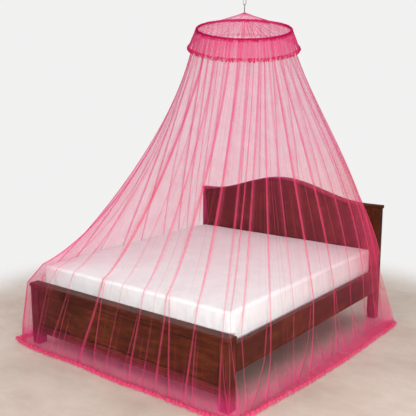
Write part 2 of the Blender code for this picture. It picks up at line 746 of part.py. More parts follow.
def build():
    clear_scene()
    wood = finish("dark_wood", (0.095, 0.030, 0.014), 0.38)
    cover = finish("white_cotton", (0.86, 0.83, 0.84), 0.85)
    net = finish("pink_net", (0.93, 0.30, 0.48), 0.75)
    trim = finish("deep_pink_trim", (0.72, 0.03, 0.16), 0.70)
    steel = finish("dull_steel", (0.30, 0.26, 0.23), 0.38, 1.0)

    room = frame_empty("hung_from_here")
    hoop_frame = frame_empty("hoop_frame", room, hoop_matrix())

    footboard(wood, room)
    side_rails(wood, room)
    deck(wood, room)
    headboard(wood, room)
    mattress(cover, room)

    hoop_and_sleeve(steel, trim, hoop_frame)
    crown(net, hoop_frame)
    valance(net, hoop_frame)
    valance_frill(trim, hoop_frame)
    rings = net_wall(net, room)[1]
    hem_frill(trim, room, rings[-1])

    ceiling_point = link_and_eye(steel, room, hanger_shank(steel, room))
    room.location = -ceiling_point
    bpy.context.view_layer.update()
    print("ceiling point", [round(v, 6) for v in ceiling_point])


build()
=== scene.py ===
"""Looks for a mosquito net canopy: sheer pink net on a tipped wire hoop, let down over a wooden double bed.

Pieces are shaped in room coordinates, in metres: the floor is z = 0, the bed's foot posts start at y = 0,
+Y runs to the head, and x = 0 is the middle of the bed.
"""

import math
from collections import namedtuple

import bpy
import bmesh
import numpy as np
from mathutils import Matrix, Vector


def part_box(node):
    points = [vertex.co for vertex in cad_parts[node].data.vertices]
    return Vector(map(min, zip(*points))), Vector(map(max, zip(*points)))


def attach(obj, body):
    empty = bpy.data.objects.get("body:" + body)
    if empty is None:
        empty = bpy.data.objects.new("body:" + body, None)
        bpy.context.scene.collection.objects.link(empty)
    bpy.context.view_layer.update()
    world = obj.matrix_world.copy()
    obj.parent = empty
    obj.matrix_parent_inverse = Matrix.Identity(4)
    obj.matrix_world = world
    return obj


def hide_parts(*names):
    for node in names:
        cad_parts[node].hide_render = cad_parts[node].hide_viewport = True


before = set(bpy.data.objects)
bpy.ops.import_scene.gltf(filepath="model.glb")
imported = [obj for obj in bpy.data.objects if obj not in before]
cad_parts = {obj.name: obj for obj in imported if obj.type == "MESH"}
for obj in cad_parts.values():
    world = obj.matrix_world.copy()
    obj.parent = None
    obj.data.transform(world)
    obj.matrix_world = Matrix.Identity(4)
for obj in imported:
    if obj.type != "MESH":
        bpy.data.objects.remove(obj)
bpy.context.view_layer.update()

# ---------------------------------------------------------------- sizes shared with the solids
BED_WIDTH = 1.80
FOOT_TOP = 0.458
CAP_OVERHANG = 0.007
MATTRESS_WIDTH = 1.70
MATTRESS_FOOT = 0.080
MATTRESS_HEAD = 2.006
MATTRESS_BOTTOM = 0.360
MATTRESS_TOP = 0.584
HEAD_SHOULDER = 0.938
HEAD_PEAK = 1.092
HEAD_ARCH_HALF = 0.79
HEAD_CREST_X = -0.030

HOOP_CENTRE = Vector((0.0, 1.414, 2.307))
HOOP_RADIUS = 0.3645
HOOP_WIRE = 0.0042
HOOP_TILT = math.radians(16.8)
HOOP_LOW_SIDE = math.radians(-52.07)
SLEEVE = 0.0086
CROWN_RISE = 0.123
CROWN_SLOPE = 0.37
PEAK_OPENING = 0.0076
VALANCE_DROP = 0.135
VALANCE_RADIUS = 0.428
VALANCE_FRILL = 0.028
HEM_FRILL = 0.036

EASE = 0.003
EDGE_INSET = 0.002
SIDE_EDGE = (0.930, 0.470)
SIDE_FALL = (0.956, 0.240)
SIDE_TOUCH = 0.988
CORNER_TUCK = 0.022
CORNER_REACH = 0.22
TUCK_Y = 2.021
TUCK_EDGE_Z = 0.640
TUCK_MID_Z = 0.560
TUCK_HEM_Z = 0.456
FLOOR_LAY = 0.0014
TOUCH_HEIGHT = 0.006

# A hanging line of the net: where it leaves the hoop (degrees in plan), the points where it meets the bed's
# edge, passes the frame, touches down and ends; its slopes below level and how far each is held; and its
# fold's width, and how much cloth the panel after it gathers.
Line = namedtuple("Line", "rim_deg edge fall touch hem leave land leave_pull land_pull width dense")

# rim angle, x at the mattress edge, x at the footboard cap, hem x, hem y, fold width, density
FOOT_FOLDS = (
    (-141.0, -0.846, -0.914, -1.000, -0.038, 0.046, 1.9),
    (-130.0, -0.680, -0.690, -0.800, -0.070, 0.030, 1.3),
    (-117.5, -0.505, -0.474, -0.650, -0.072, 0.036, 1.0),
    (-102.0, -0.205, -0.165, -0.290, -0.060, 0.056, 1.0),
    (-94.0, -0.020, 0.020, -0.070, -0.074, 0.026, 1.0),
    (-86.5, 0.173, 0.218, 0.148, -0.078, 0.040, 1.0),
    (-70.0, 0.362, 0.420, 0.370, -0.066, 0.044, 1.0),
    (-61.0, 0.613, 0.656, 0.612, -0.070, 0.042, 1.0),
    (-51.0, 0.812, 0.862, 0.842, -0.070, 0.034, 1.0),
    (-45.0, 0.848, 0.914, 0.962, -0.036, 0.036, 1.0),
)
# rim angle, y at the edge, y at the floor line, hem x, hem y, landing slope, fold width, density
SIDE_FOLDS = (
    (-39.0, 0.100, 0.085, 0.990, 0.090, 36.8, 0.036, 1.0),
    (-33.5, 0.385, 0.345, 1.012, 0.330, 51.2, 0.044, 1.0),
    (-28.0, 0.660, 0.590, 1.036, 0.560, 61.0, 0.030, 1.1),
    (-22.0, 0.915, 0.860, 1.056, 0.830, 69.0, 0.050, 1.2),
    (-14.0, 1.210, 1.190, 1.068, 1.150, 77.0, 0.046, 1.3),
    (-5.0, 1.470, 1.440, 1.070, 1.430, 82.0, 0.036, 1.4),
    (5.0, 1.690, 1.670, 1.066, 1.700, 82.0, 0.044, 1.7),
    (15.0, 1.850, 1.860, 1.072, 1.930, 81.0, 0.036, 2.6),
    (24.0, 1.945, 1.985, 1.050, 2.080, 80.5, 0.030, 3.4),
)
# rim angle, x, y, edge z, hem z
POST_FOLDS = ((32.0, 0.925, 2.008, 0.560, 0.470), (42.0, 0.862, 2.019, 0.640, 0.458))
# rim angle and x
HEAD_FOLDS = ((54.0, 0.660), (66.0, 0.440), (78.0, 0.200), (92.0, -0.030), (104.0, -0.240), (116.0, -0.450),
              (127.0, -0.670))
# below the bed's edge: line number, how far its main fold strays along the hem, in gaps between lines
LOWER_DRIFT = {3: -0.14, 8: 0.20, 9: 0.40, 11: -0.30, 13: -0.24, 15: 0.15}
# folds that leave a main fold and fall apart from it: line number, level where they part, how far they end
# from it along the hem in gaps, half width, how much of the view they stop
PARTED_FOLDS = (
    (2, "fall", 0.16, 0.0045, 0.34), (3, "edge", 0.42, 0.0060, 0.50), (5, "fall", -0.20, 0.0040, 0.30),
    (6, "edge", 0.46, 0.0062, 0.50), (7, "fall", 0.22, 0.0045, 0.36), (8, "fall", 0.75, 0.0050, 0.32),
    (9, "fall", -0.25, 0.0045, 0.34), (11, "edge", -0.88, 0.0060, 0.46), (11, "fall", 0.26, 0.0045, 0.34),
    (13, "edge", -0.80, 0.0058, 0.46), (13, "fall", 0.34, 0.0050, 0.38), (14, "edge", 0.45, 0.0055, 0.42),
    (14, "fall", -0.30, 0.0042, 0.34), (15, "fall", 0.50, 0.0050, 0.42), (16, "fall", 0.42, 0.0050, 0.42),
    (17, "fall", 0.45, 0.0050, 0.42),
)
LEFT_SIDE_SHIFT = 0.028
LEFT_SIDE_WAVE = 9.0
LEFT_RIM_SHARE = 0.85
PLAIN_WIDTH = 0.03
FAR_DENSE = 2.1

# how steeply the net leaves the valance and lands, in degrees below level, and how far each slope is held
HANG_DEG = 74.5
HANG_LENGTH = 0.19
FOOT_SLOPES = (69.0, 25.0, 0.35, 0.15)
CORNER_RIM = -125.0
CORNER_SLOPES = (72.5, 21.0, 0.39, 0.22)
RIGHT_LEAVE = (66.0, 0.35)
LEFT_LEAVE = (73.5, 0.36)
SIDE_LAND_PULL = (0.12, 0.0045)
POST_SLOPES = (69.5, 79.0, 0.34, 0.20)
HEAD_SLOPES = (80.0, 88.0, 0.35, 0.35)

# how finely the net is modelled: steps down each stretch of a hanging line, and curves from line to line
SLEEVE_STEPS = 6
SAG_STEPS = 40
TOP_FALL_STEPS = 8
DROP_STEPS = 22
LAY_STEPS = 7
CURVES_PER_GAP = 8
RIM = SLEEVE_STEPS
EDGE = RIM + SAG_STEPS
FALL = EDGE + TOP_FALL_STEPS
TOUCH = FALL + DROP_STEPS
LAST = TOUCH + LAY_STEPS
LEVELS = LAST + 1

UP = np.array((0.0, 0.0, 1.0))
TO_FOOT = np.array((0.0, -1.0, 0.0))
room_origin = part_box("foot_post_left")[0] + Vector((BED_WIDTH / 2.0, 0.0, 0.0))

# ---------------------------------------------------------------- small helpers


def in_frame(points):
    """Room coordinates to the frame's."""
    return np.asarray(points, float) + np.array(room_origin)


def put_in(name, data):
    thing = bpy.data.objects.new(name, data)
    bpy.context.scene.collection.objects.link(thing)
    return thing


def make_piece(name, points, across, down, values, closed=True, faces=None):
    """A mesh object from a grid of room coordinates, column by column, with values for each point.

    One map holds the cloth's own metres, and a second, even one is for baking the looks.
    """
    columns, levels = points.shape[:2]
    faces = faces or grid_faces(columns, levels, closed)
    mesh = bpy.data.meshes.new(name)
    mesh.from_pydata(in_frame(points).reshape(-1, 3).tolist(), [], faces)
    for key, numbers in values.items():
        numbers = np.asarray(numbers, np.float32)
        kind, field = ("FLOAT", "value") if numbers.size == columns * levels else ("FLOAT_VECTOR", "vector")
        mesh.attributes.new(key, kind, "POINT").data.foreach_set(field, numbers.ravel())
    corner = np.zeros(len(mesh.loops), np.int32)
    mesh.loops.foreach_get("vertex_index", corner)
    metres = np.stack([np.repeat(across, levels), np.tile(down, columns)], axis=1).astype(np.float32)
    mesh.uv_layers.new(name="cloth_metres").data.foreach_set("uv", metres[corner].ravel())
    strips = columns if closed else columns - 1
    steps = len(faces) // strips
    left = np.repeat(np.arange(strips), steps)[:, None]
    low = np.tile(np.arange(steps), strips)[:, None]
    across = (left + np.array((0, 0, 1, 1))) / strips
    down = (low + np.array((0, 1, 1, 0))) / steps
    even = np.stack([across, down], axis=2).astype(np.float32)
    mesh.uv_layers.new(name="OFBake").data.foreach_set("uv", even.ravel())
    mesh.shade_smooth()
    return put_in(name, mesh)


def keep_shape(thing, change):
    """Keeps the plain mesh that a modifier gives, and takes the modifier off."""
    bpy.context.view_layer.update()
    shaped = thing.evaluated_get(bpy.context.evaluated_depsgraph_get())
    shaped = bpy.data.meshes.new_from_object(shaped)
    thing.modifiers.remove(change)
    thing.data = shaped
    shaped.shade_smooth()
    return thing


def grid_faces(columns, levels, closed):
    """Quads of a grid whose points run level by level inside each column."""
    faces = []
    for j in range(columns if closed else columns - 1):
        a, b = j * levels, ((j + 1) % columns) * levels
        for k in range(levels - 1):
            faces.append((a + k, a + k + 1, b + k + 1, b + k))
    return faces


def wear(thing, material):
    thing.data.materials.clear()
    thing.data.materials.append(material)
    return thing


def hand_over(thing, slot, *nodes):
    """Rides the piece on the part's one body, in place of its plain solids."""
    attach(thing, "root")
    if nodes:
        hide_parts(*nodes)
    return thing


# ---------------------------------------------------------------- materials


class Nodes:
    """A node tree under construction: nodes are added by type, and fed by socket name or number."""

    def __init__(self, tree):
        self.tree = tree

    def feed(self, node, values):
        for key, value in values.items():
            if isinstance(value, bpy.types.NodeSocket):
                self.tree.links.new(value, node.inputs[key])
            else:
                node.inputs[key].default_value = value

    def add(self, kind, values=None, **settings):
        node = self.tree.nodes.new(kind)
        for key, value in settings.items():
            setattr(node, key, value)
        self.feed(node, values or {})
        return node

    def out(self, kind, values=None, **settings):
        return self.add(kind, values, **settings).outputs[0]

    def maths(self, operation, *values):
        return self.out("ShaderNodeMath", dict(enumerate(values)), operation=operation)

    def times(self, a, b):
        return self.maths("MULTIPLY", a, b)

    def ramp(self, value, *stops):
        node = self.add("ShaderNodeValToRGB", {"Fac": value})
        while len(node.color_ramp.elements) < len(stops):
            node.color_ramp.elements.new(0.5)
        for element, (at, colour) in zip(node.color_ramp.elements, stops):
            element.position = at
            element.color = (*colour, 1.0)
        return node.outputs["Color"]

    def shader_mix(self, share, a, b):
        return self.out("ShaderNodeMixShader", {0: share, 1: a, 2: b})


class Finish(Nodes):
    """A material under construction."""

    def __init__(self, name):
        self.material = bpy.data.materials.new(name)
        self.material.use_nodes = True
        super().__init__(self.material.node_tree)
        self.shader = self.tree.nodes["Principled BSDF"]

    def dress(self, **looks):
        """Feeds the shader by socket names written with underscores, and gives the material."""
        self.feed(self.shader, {key.replace("_", " "): value for key, value in looks.items()})
        return self.material

    def object_place(self, scale=(1.0, 1.0, 1.0)):
        place = self.add("ShaderNodeTexCoord").outputs["Object"]
        return self.out("ShaderNodeMapping", {"Vector": place, "Scale": scale})

    def along_axis(self, place, axis):
        return self.add("ShaderNodeSeparateXYZ", {0: place}).outputs[axis]

    def point_value(self, name):
        return self.add("ShaderNodeAttribute", attribute_name=name).outputs["Fac"]

    def noise(self, place, scale, detail=3.0, roughness=0.55):
        values = {"Vector": place, "Scale": scale, "Detail": detail, "Roughness": roughness}
        return self.add("ShaderNodeTexNoise", values).outputs["Fac"]

    def span(self, value, start, end, low, high, **settings):
        """From `low` to `high` while the value goes from `start` to `end`."""
        values = {"Value": value, "From Min": start, "From Max": end, "To Min": low, "To Max": high}
        return self.out("ShaderNodeMapRange", values, **settings)

    def mix(self, share, a, b, blend="MIX"):
        node = self.add("ShaderNodeMix", data_type="RGBA", blend_type=blend)
        for number, value in ((0, share), (6, a), (7, b)):
            self.feed(node, {number: (*value, 1.0) if isinstance(value, tuple) else value})
        return node.outputs[2]

    def weighed(self, a, share, b):
        """The sum of two values, the first weighed by its share and the second by the rest."""
        return self.maths("ADD", self.times(a, share), self.times(b, 1.0 - share))

    def bump(self, height, distance, strength):
        values = {"Height": height, "Distance": distance, "Strength": strength}
        return self.out("ShaderNodeBump", values)


def knitted_threads(finish, cell):
    """1 on the threads of a fine hexagonal knit and 0 in its holes, in the cloth's own metres."""
    uv = finish.out("ShaderNodeUVMap", uv_map="cloth_metres")
    wide = finish.out("ShaderNodeMapping", {"Vector": uv, "Scale": (1.0 / cell, 0.8 / cell, 1.0)})
    values = {"Vector": wide, "Scale": 1.0, "Randomness": 0.25}
    cells = finish.add("ShaderNodeTexVoronoi", values, feature="DISTANCE_TO_EDGE").outputs["Distance"]
    return finish.span(cells, 0.05, 0.22, 1.0, 0.0)


def sheer_net(name, pale, deep, cell=0.0022, most=0.96):
    """Sheer netting: each point's `cover` says how much of the view its gathered threads stop.

    The yarn is painted redder in the bed's shade: a painted shade tint. Where `on_headboard` is over 0 it
    is drawn flat on the wood and hardly shows.
    """
    finish = Finish(name)
    cover = finish.point_value("cover")
    weight = finish.maths("MULTIPLY_ADD", knitted_threads(finish, cell), 0.55, 0.76)
    patchy = finish.maths("MULTIPLY_ADD", finish.noise(finish.object_place(), 9.0, 2.0), 0.5, 0.75)
    share = finish.maths("MINIMUM", finish.times(finish.times(cover, weight), patchy), most)
    share = finish.times(share, finish.span(finish.point_value("on_headboard"), 0.001, 0.008, 1.0, 0.05))
    colour = finish.ramp(cover, (0.05, pale), (0.75, deep))
    # painted shade: the yarn's colour is made redder, by the painted shade tint, where it hangs in the bed's
    # shade
    redder = finish.mix(1.0, colour, (1.0, 1.5, 0.78), "MULTIPLY")
    colour = finish.mix(finish.point_value("painted_shade_tint"), colour, redder)
    lit = finish.out("ShaderNodeBsdfDiffuse", {"Color": colour})
    through = finish.out("ShaderNodeBsdfTranslucent", {"Color": colour})
    clear = finish.out("ShaderNodeBsdfTransparent")
    whole = finish.shader_mix(share, clear, finish.shader_mix(0.5, lit, through))
    finish.tree.nodes.remove(finish.shader)
    finish.feed(finish.tree.nodes["Material Output"], {"Surface": whole})
    return finish.material


def stained_wood(name, grain_axis, painted_groove_shade=()):
    """Dark red-brown stained hardwood with its grain along one axis, under a satin varnish.

    Each groove is an axis, a place on it in the frame and a half width: a thin dark line of painted shade.
    """
    finish = Finish(name)
    figure_scale, fibre_scale = [9.0, 9.0, 9.0], [140.0, 140.0, 140.0]
    figure_scale[grain_axis], fibre_scale[grain_axis] = 2.4, 12.0
    figure = finish.noise(finish.object_place(figure_scale), 2.6, 5.0, 0.6)
    broad = finish.noise(finish.object_place(), 2.2)
    fibre = finish.noise(finish.object_place(fibre_scale), 1.0, 3.0, 0.7)
    body = finish.ramp(finish.weighed(figure, 0.62, broad), (0.36, (0.040, 0.0080, 0.0018)),
                       (0.50, (0.076, 0.0160, 0.0036)), (0.62, (0.126, 0.030, 0.0070)))
    streak = finish.ramp(fibre, (0.38, (0.42, 0.36, 0.34)), (0.56, (1.0, 1.0, 1.0)))
    colour = finish.mix(0.50, body, streak, "MULTIPLY")
    # painted shade: a near-black line along each groove
    for axis, at, half in painted_groove_shade:
        near = finish.maths("COMPARE", finish.along_axis(finish.object_place(), axis), at, half)
        colour = finish.mix(finish.times(near, 0.8), colour, (0.010, 0.0025, 0.0012))
    return finish.dress(Base_Color=colour, Roughness=finish.span(fibre, 0.0, 1.0, 0.34, 0.55),
                        Normal=finish.bump(fibre, 0.0006, 0.5), Specular_IOR_Level=0.14)


THREAD_PITCH = 0.0011


def white_cotton():
    """White cotton sheeting: a fine plain weave, faint creases and a little sheen."""
    finish = Finish("white_cotton")
    place = finish.object_place()
    turns = 2.0 * math.pi / THREAD_PITCH
    warp, weft = (finish.maths("SINE", finish.times(finish.along_axis(place, axis), turns)) for axis in "XY")
    crease = finish.noise(place, 9.0, 5.0, 0.62)
    fold = finish.noise(finish.object_place((1.0, 1.0, 0.35)), 26.0, 3.0, 0.5)
    relief = finish.maths("ADD", finish.times(crease, 0.006), finish.times(fold, 0.0022))
    relief = finish.maths("ADD", relief, finish.times(finish.times(warp, weft), 0.00005))
    # painted shade: the sheet is a little darker in the creases' hollows
    colour = finish.ramp(crease, (0.3, (0.80, 0.815, 0.82)), (0.7, (0.87, 0.89, 0.895)))
    return finish.dress(Base_Color=colour, Roughness=0.85, Sheen_Weight=0.12,
                        Normal=finish.bump(relief, 1.0, 0.8))


def dull_steel():
    """Dull grey-brown wire, slightly tarnished."""
    finish = Finish("dull_steel")
    spots = finish.noise(finish.object_place(), 260.0, 4.0)
    return finish.dress(Base_Color=finish.ramp(spots, (0.35, (0.16, 0.13, 0.11)), (0.65, (0.42, 0.37, 0.33))),
                        Metallic=1.0, Roughness=finish.span(spots, 0.0, 1.0, 0.26, 0.52))


def pale_floor():
    """A plain pale stone floor that fades out with distance from the bed."""
    finish = Finish("pale_floor")
    place = finish.object_place()
    cloud = finish.noise(place, 1.6, 6.0, 0.6)
    vein = finish.noise(finish.object_place((1.0, 1.7, 1.0)), 7.0, 8.0, 0.7)
    colour = finish.ramp(finish.weighed(cloud, 0.6, vein), (0.38, (0.56, 0.455, 0.385)),
                         (0.62, (0.69, 0.585, 0.51)))
    centre = finish.out("ShaderNodeMapping", {"Vector": place, "Location": (0.0, 0.35, 0.0)})
    flat = finish.out("ShaderNodeVectorMath", {0: centre, 1: (1.0, 1.0, 0.0)}, operation="MULTIPLY")
    reach = finish.add("ShaderNodeVectorMath", {0: flat}, operation="LENGTH").outputs["Value"]
    fade = finish.span(reach, 1.75, 3.0, 1.0, 0.0, interpolation_type="SMOOTHERSTEP")
    return finish.dress(Base_Color=colour, Roughness=0.34, Specular_IOR_Level=0.35, Alpha=fade)


net_pink = sheer_net("net_pink", (1.0, 0.085, 0.34), (0.99, 0.070, 0.29))
valance_pink = sheer_net("valance_pink", (1.0, 0.14, 0.40), (1.0, 0.11, 0.35), cell=0.0020)
trim_pink = sheer_net("trim_pink", (0.98, 0.22, 0.47), (0.80, 0.016, 0.18), cell=0.0016, most=1.0)
hem_pink = sheer_net("hem_pink", (0.97, 0.24, 0.45), (0.88, 0.095, 0.26), cell=0.0018, most=0.98)
rail_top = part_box("footboard_rail")[1].z
cap_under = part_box("footboard_cap")[0].z
post_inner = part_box("foot_post_right")[0].x
panel_right = post_inner - 0.004
panel_left = 2.0 * room_origin.x - post_inner + 0.004
wood_across = stained_wood("wood_across", 0)
# lines of painted shade at the panel's joints with the rail and the posts, under its cap, and on the rail
wood_panel = stained_wood("wood_panel", 0, (("Z", rail_top + 0.004, 0.0035), ("X", panel_right, 0.0035),
                                            ("X", panel_left, 0.0035), ("Z", cap_under - 0.042, 0.0030)))
wood_rail = stained_wood("wood_rail", 0, (("Z", rail_top - 0.030, 0.0030),))
wood_along = stained_wood("wood_along", 1)
wood_upright = stained_wood("wood_upright", 2)
cotton = white_cotton()
steel = dull_steel()

# ---------------------------------------------------------------- the hanging net

# the hoop's own frame: level at first, then tipped so that one side hangs low
hoop_hinge = Vector((-math.sin(HOOP_LOW_SIDE), math.cos(HOOP_LOW_SIDE), 0.0))
hoop_place = Matrix.Translation(HOOP_CENTRE) @ Matrix.Rotation(HOOP_TILT, 4, hoop_hinge)


def on_hoop(rim_deg, radius, drop):
    angle = math.radians(rim_deg)
    return np.array(hoop_place @ Vector((radius * math.cos(angle), radius * math.sin(angle), -drop)))


def net_lines():
    """All the net's hanging lines, once round the bed from the left foot corner."""
    foot = []
    for rim, edge_x, cap_x, hem_x, hem_y, width, dense in FOOT_FOLDS:
        edge = (edge_x, MATTRESS_FOOT + EDGE_INSET, MATTRESS_TOP + EASE)
        fall = (cap_x, -CAP_OVERHANG - EASE, FOOT_TOP + EASE)
        touch = (hem_x * 0.998, hem_y + 0.014, TOUCH_HEIGHT)
        slopes = CORNER_SLOPES if rim < CORNER_RIM else FOOT_SLOPES
        foot.append(Line(rim, edge, fall, touch, (hem_x, hem_y, FLOOR_LAY), *slopes, width, dense))
    right, left = ([side_line(sign, *row) for row in SIDE_FOLDS]
                   + [post_line(sign, *row) for row in POST_FOLDS] for sign in (1.0, -1.0))
    heights = (TUCK_EDGE_Z, TUCK_MID_Z, (TUCK_MID_Z + TUCK_HEM_Z) / 2.0, TUCK_HEM_Z)
    head = [straight_line(rim, x, TUCK_Y, heights, HEAD_SLOPES) for rim, x in HEAD_FOLDS]
    return foot + right + head + left[::-1]


def straight_line(rim, x, y, heights, slopes):
    return Line(rim, *((x, y, z) for z in heights), *slopes, PLAIN_WIDTH, FAR_DENSE)


def side_line(sign, rim, edge_y, floor_y, hem_x, hem_y, land, width, dense):
    if sign < 0.0:
        rim = 180.0 - LEFT_RIM_SHARE * rim
        along = LEFT_SIDE_SHIFT * math.sin(LEFT_SIDE_WAVE * edge_y)
        edge_y, floor_y, hem_y = edge_y + along, floor_y + along, hem_y + along
        dense = FAR_DENSE
    tuck = CORNER_TUCK * math.exp(-(edge_y / CORNER_REACH) ** 2)
    edge = (sign * (SIDE_EDGE[0] - tuck), edge_y, SIDE_EDGE[1])
    fall = (sign * (SIDE_FALL[0] - tuck), (edge_y + floor_y) / 2.0, SIDE_FALL[1])
    touch = (sign * min(SIDE_TOUCH, hem_x - 0.02), floor_y, TOUCH_HEIGHT)
    hem = (sign * hem_x, hem_y, FLOOR_LAY)
    land_pull = SIDE_LAND_PULL[0] + SIDE_LAND_PULL[1] * (land - FOOT_SLOPES[1])
    leave, leave_pull = LEFT_LEAVE if sign < 0.0 else RIGHT_LEAVE
    return Line(rim, edge, fall, touch, hem, leave, land, leave_pull, land_pull, width, dense)


def post_line(sign, rim, x, y, edge_z, hem_z):
    if sign < 0.0:
        rim = 180.0 - LEFT_RIM_SHARE * rim
    heights = (edge_z, (2.0 * edge_z + hem_z) / 3.0, (edge_z + 2.0 * hem_z) / 3.0, hem_z)
    return straight_line(rim, sign * x, y, heights, POST_SLOPES)


def blend(a, b, share):
    """A hanging line between two neighbours; rim angles take the short way round."""
    step = (b.rim_deg - a.rim_deg + 180.0) % 360.0 - 180.0
    rest = [np.array(one) * (1 - share) + np.array(other) * share for one, other in zip(a[1:], b[1:])]
    return Line(a.rim_deg + share * step, *rest)


def slanted(run, degrees):
    """A unit way that goes `degrees` below level, towards where `run` points in plan."""
    flat = np.array((run[0], run[1], 0.0)) / math.hypot(run[0], run[1])
    slope = math.radians(degrees)
    return flat * math.cos(slope) - UP * math.sin(slope)


def stretch(start, end, steps):
    share = np.arange(1, steps + 1)[:, None] / steps
    return start * (1.0 - share) + end * share


def hang(line):
    """Points down one hanging line: off the hoop, a sagging curve to the bed's edge, then down to the hem."""
    start = on_hoop(line.rim_deg, HOOP_RADIUS, HOOP_WIRE)
    reach = HANG_LENGTH * math.cos(math.radians(HANG_DEG))
    drop = HANG_LENGTH * math.sin(math.radians(HANG_DEG))
    below = on_hoop(line.rim_deg, HOOP_RADIUS + reach, SLEEVE + drop)
    edge, fall, touch, hem = line[1:5]
    run = edge - below
    length = np.linalg.norm(run)
    first = below + slanted(run, line.leave) * line.leave_pull * length
    second = edge - slanted(run, line.land) * line.land_pull * length
    t = np.arange(1, SAG_STEPS + 1)[:, None] / SAG_STEPS
    sag = (1 - t) ** 3 * below + 3 * (1 - t) ** 2 * t * first + 3 * (1 - t) * t * t * second + t ** 3 * edge
    return np.concatenate([start[None], stretch(start, below, SLEEVE_STEPS), sag,
                           stretch(edge, fall, TOP_FALL_STEPS), stretch(fall, touch, DROP_STEPS),
                           stretch(touch, hem, LAY_STEPS)])


class NetSurface:
    """The smooth surface that the net's folds stand on, read by a running line number and a level."""

    def __init__(self):
        self.lines = net_lines()
        after = self.lines[1:] + self.lines[:1]
        self.points = np.array([hang(blend(line, other, k / CURVES_PER_GAP))
                                for line, other in zip(self.lines, after) for k in range(CURVES_PER_GAP)])
        ring = np.concatenate([self.points[-1:], self.points, self.points[:1]])
        across = (ring[2:] - ring[:-2]) * CURVES_PER_GAP / 2.0
        normal = np.cross(np.gradient(self.points, axis=1), across)
        self.normal = normal / np.linalg.norm(normal, axis=2)[:, :, None]
        self.metres = np.linalg.norm(across, axis=2)

    def read(self, table, place):
        """A table's values at running line numbers, one for each level."""
        rows = np.asarray(place) * CURVES_PER_GAP
        low = np.floor(rows).astype(int)
        share = rows - low
        count = len(self.points)
        if table.ndim == 3:
            share = share[..., None]
        return table[low % count, level] * (1.0 - share) + table[(low + 1) % count, level] * share


level = np.arange(LEVELS)
none = np.zeros(LEVELS)
net_surface = NetSurface()


def along_net(*stops):
    """A value for each level, from (level, value) stops."""
    return np.interp(level, *zip(*stops))


def rising(value, start, reach):
    """0 until the value passes `start`, then up to 1 over `reach`."""
    return np.clip((value - start) / reach, 0.0, 1.0)


# how much of the view one flat layer of net stops, from the hoop down: where it is spread, and where full
SPREAD_COVER = along_net((0, 0.40), (RIM, 0.22), (RIM + 10, 0.12), (RIM + 22, 0.06),
                         (EDGE - 8, 0.035), (EDGE, 0.03), (EDGE + 4, 0.02))
FULL_COVER = along_net((0, 0.40), (RIM, 0.30), (RIM + 12, 0.32), (EDGE - 4, 0.40),
                       (EDGE, 0.36), (EDGE + 4, 0.32))
# the same by height above the floor, where the hem's fullness gathers
LOW_HEIGHT = (0.0015, 0.02, 0.06, 0.10, 0.15, 0.20)
LOW_COVER = (0.56, 0.54, 0.47, 0.34, 0.15, 0.0)
# where the net is bunched round the head post
BUNCHED_COVER = 0.58
BUNCHED = 3.4
# the same for a main fold's gathered threads, with its half width and rise in metres
FOLD_COVER = along_net((0, 0.50), (RIM, 0.72), (EDGE - 14, 0.76), (EDGE - 3, 0.60),
                       (FALL, 0.54), (TOUCH - 6, 0.58), (LAST, 0.60))
FOLD_HALF = along_net((0, 0.007), (RIM + 6, 0.010), (EDGE - 20, 0.012), (EDGE - 8, 0.011),
                      (EDGE, 0.0065), (FALL, 0.0075), (TOUCH, 0.0105), (LAST, 0.010))
FOLD_RISE = along_net((0, 0.0), (RIM, 0.003), (EDGE - 8, 0.008), (FALL, 0.005),
                      (TOUCH - 6, 0.012), (TOUCH - 1, 0.003), (LAST, 0.001))
# its lighter heart, as a share of its cover, and the soft shoulder beside it
FOLD_HEART = along_net((0, 0.9), (EDGE - 24, 0.8), (EDGE - 12, 0.55), (EDGE, 0.85),
                       (FALL, 0.62), (LAST, 0.45))
SHOULDER_REACH = along_net((0, 0.020), (RIM + 10, 0.042), (EDGE - 14, 0.030), (EDGE, 0.008),
                           (LAST, 0.012))
SHOULDER_COVER = along_net((0, 0.25), (RIM + 8, 0.34), (EDGE - 12, 0.16), (EDGE, 0.05))
BELOW_EDGE = rising(level, EDGE + 2.0, TOUCH - EDGE - 4.0) ** 1.3
# across a main fold: place in half widths, share of its rise, share of its cover
FOLD_PROFILE = ((-1.5, 0.0, 0.0), (-1.0, 0.15, 0.35), (-0.55, 0.85, 1.0), (0.0, 1.0, 0.0), (0.55, 0.85, 1.0),
                (1.0, 0.15, 0.35), (1.5, 0.0, 0.0))
# thin pleats: how far apart at the floor, and how they crowd towards the main folds at the top
PLEAT_SPACING = 0.034
PLEAT_CROWD = 1.35
PLEAT_SHOWN = along_net((0, 1.0), (EDGE - 14, 0.55), (EDGE - 4, 0.38), (FALL, 0.40),
                        (TOUCH - 8, 0.9), (LAST, 1.0))
PLEAT_STARTS = (0, 0, 0, RIM + 14, EDGE - 10, FALL + 2, FALL + 6)
PLEAT_ENDS = (EDGE - 14, EDGE + 2, LEVELS, LEVELS, LEVELS)
PLEAT_COVERS = (0.06, 0.10, 0.16, 0.28, 0.50)
PLEAT_HALVES = (0.0022, 0.0030, 0.0042, 0.0085, 0.0130)


def main_fold(number, strength, side):
    """Columns of one main fold: a raised double wall with a lighter heart and a soft shoulder on one side."""
    centre = float(number) + LOWER_DRIFT.get(number, 0.0) * BELOW_EDGE
    metres = net_surface.read(net_surface.metres, centre)
    half = FOLD_HALF * strength
    columns = []
    for offset, rise, thick in FOLD_PROFILE:
        extra = FOLD_COVER * thick if offset else FOLD_COVER * FOLD_HEART
        if offset * side > 0.9:
            extra = np.maximum(extra, SHOULDER_COVER)
        place = centre + np.clip(offset * half / metres, -0.18, 0.18)
        columns.append((place, FOLD_RISE * rise * strength, extra * min(strength, 1.1)))
    outside = centre + side * np.clip((1.5 * half + SHOULDER_REACH) / metres, 0.0, 0.30)
    shoulder = (outside, none, none)
    return columns + [shoulder] if side > 0 else [shoulder] + columns


